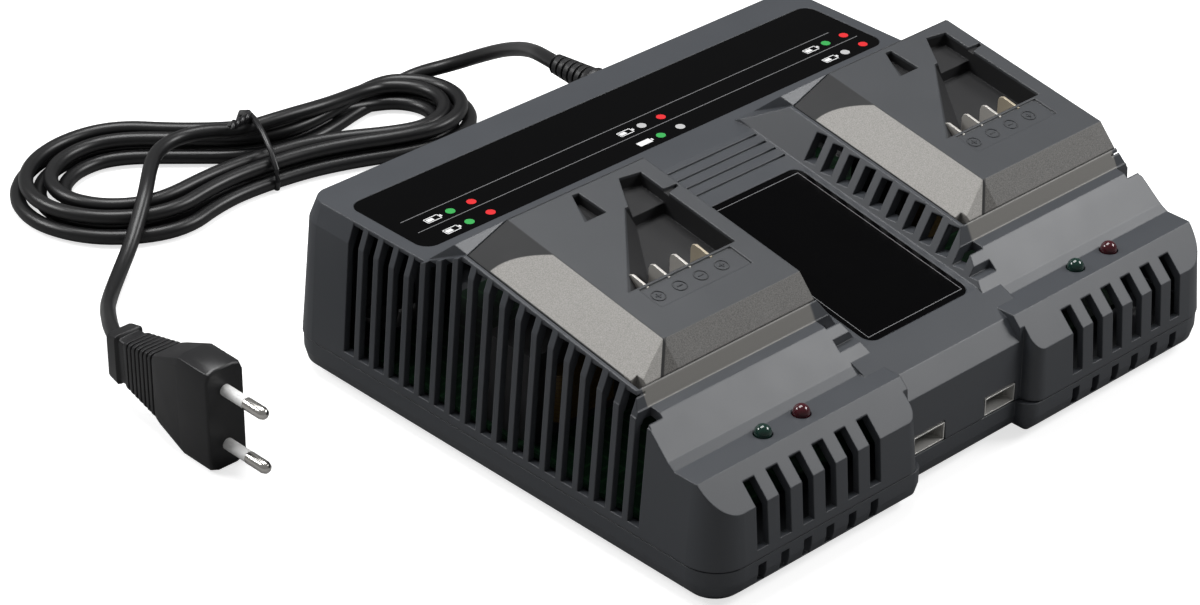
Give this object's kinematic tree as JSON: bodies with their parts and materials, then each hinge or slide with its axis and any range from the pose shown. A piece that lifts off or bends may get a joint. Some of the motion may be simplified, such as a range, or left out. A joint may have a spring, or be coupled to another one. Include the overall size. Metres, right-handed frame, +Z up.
{
  "type": "power tool battery charger",
  "caption": "Mains charger for power tool batteries: two tilted charging bays, two USB ports, vented housing, coiled cord with flat two-pin plug.",
  "frame": {"origin": "on the table under the middle of the housing", "axes": "X along the front from left to right, Y from front to back, Z up"},
  "size_m": [0.2752, 0.3411, 0.0733],
  "materials": {
    "housing_plastic": "fine texture",
    "platform_plastic": "fine texture",
    "gloss_panel": "gloss",
    "nickel": "bright",
    "black_plastic": "satin",
    "green_lens": "gloss",
    "red_lens": "gloss",
    "circuit_board": "satin",
    "ferrite": "matt",
    "winding_tape": "satin",
    "can_sleeve": "satin",
    "sink_aluminium": "satin",
    "foot_rubber": "matt",
    "steel": "satin",
    "cord_sheath": "satin",
    "tie_plastic": "satin"
  },
  "bodies": {
    "housing": {"upper_shell": "housing_plastic", "bottom_shell": "housing_plastic", "battery_platform_left": "platform_plastic", "battery_platform_right": "platform_plastic", "rear_label_panel": "gloss_panel", "centre_label_plate": "gloss_panel", "contact_blades_left": "nickel", "contact_blades_right": "nickel", "plug_pins": "nickel", "usb_port_left": "nickel", "usb_port_right": "nickel", "terminal_block_left": "black_plastic", "terminal_block_right": "black_plastic", "usb_tongue_left": "black_plastic", "usb_tongue_right": "black_plastic", "fan_frame": "black_plastic", "plug_body": "black_plastic", "strain_relief": "black_plastic", "lamp_green_left": "green_lens", "lamp_green_right": "green_lens", "lamp_red_left": "red_lens", "lamp_red_right": "red_lens", "main_board": "circuit_board", "usb_board": "circuit_board", "lamp_board_left": "circuit_board", "lamp_board_right": "circuit_board", "transformer_left_core": "ferrite", "transformer_right_core": "ferrite", "mains_choke": "ferrite", "transformer_left_winding": "winding_tape", "transformer_right_winding": "winding_tape", "capacitor_left": "can_sleeve", "capacitor_right": "can_sleeve", "fuse": "can_sleeve", "heat_sink_left": "sink_aluminium", "heat_sink_right": "sink_aluminium", "rubber_feet": "foot_rubber", "housing_screws": "steel", "cord_run": "cord_sheath", "cord_tail": "cord_sheath", "cord_hank": "cord_sheath", "hank_tie": "tie_plastic"},
    "rotor": {"fan_rotor": "black_plastic"}
  },
  "joints": [
    {"name": "fan_spin", "type": "hinge", "parent": "housing", "child": "rotor", "pos_m": [-0.08, 0.076, 0.0298], "axis": [0, 1, 0], "continuous": true}
  ]
}
